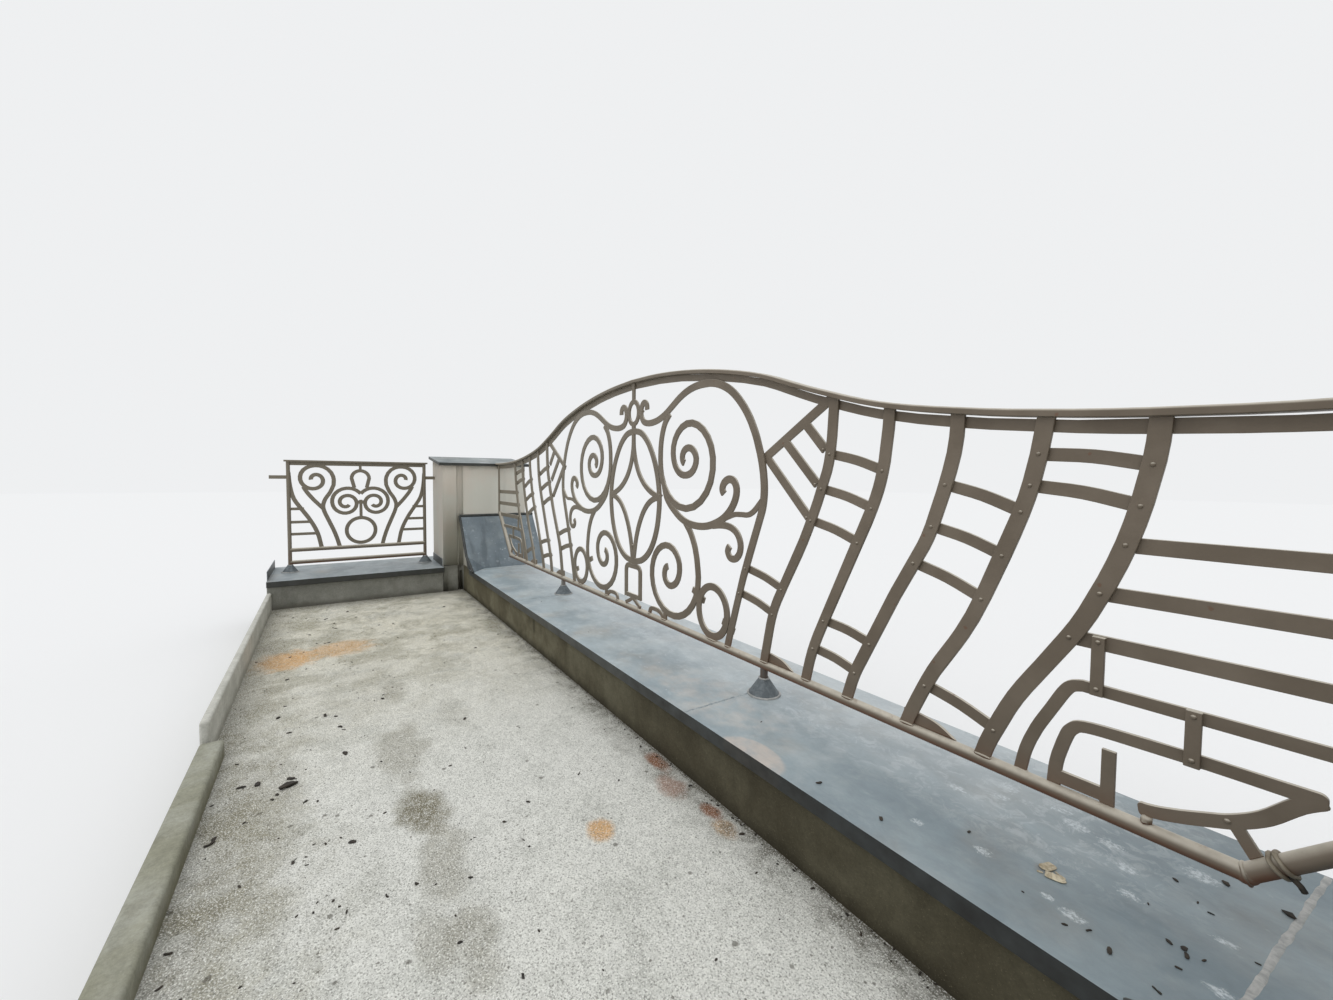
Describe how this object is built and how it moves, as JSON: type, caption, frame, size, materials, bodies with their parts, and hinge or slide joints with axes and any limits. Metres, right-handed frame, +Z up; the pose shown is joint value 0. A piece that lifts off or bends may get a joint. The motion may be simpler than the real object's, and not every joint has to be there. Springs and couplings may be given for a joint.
{
  "type": "balcony",
  "caption": "Roof-level house balcony: cement floor, low zinc-capped parapets, corner piers and a waved wrought-iron scroll railing, cut off at the house wall.",
  "frame": {"origin": "middle of the underside of the floor slab, under the centre of the overall box", "axes": "+X along the balcony towards its far end, -Y to the street, +Y to the house wall, +Z up"},
  "size_m": [5.646, 1.76, 1.487],
  "materials": {
    "iron": "satin",
    "zinc": "matte",
    "cement": "matte",
    "render": "matte",
    "screed": "matte"
  },
  "bodies": {
    "root": {"floor_slab": "screed", "wall_skirting": "cement", "door_step": "cement", "front_parapet": "cement", "far_side_parapet": "cement", "near_side_parapet": "cement", "far_pier": "render", "near_pier": "render", "far_pier_cap": "zinc", "near_pier_cap": "zinc", "front_capping": "zinc", "far_side_capping": "zinc", "near_side_capping": "zinc", "far_slope_flashing": "zinc", "near_slope_flashing": "zinc", "leg_collars": "zinc", "far_post_collars": "zinc", "near_post_collars": "zinc", "handrail": "iron", "top_bar": "iron", "bottom_tube": "iron", "support_legs": "iron", "far_uprights": "iron", "near_uprights": "iron", "far_rungs": "iron", "near_rungs": "iron", "far_end_grille": "iron", "near_end_grille": "iron", "far_brace": "iron", "near_brace": "iron", "medallion": "iron", "centre_loops": "iron", "centre_foot": "iron", "far_crest_scroll": "iron", "near_crest_scroll": "iron", "far_upper_spiral": "iron", "near_upper_spiral": "iron", "far_curl_scroll": "iron", "near_curl_scroll": "iron", "far_lower_spiral": "iron", "near_lower_spiral": "iron", "far_side_frame": "iron", "near_side_frame": "iron", "far_side_scrolls": "iron", "near_side_scrolls": "iron"}
  },
  "joints": []
}
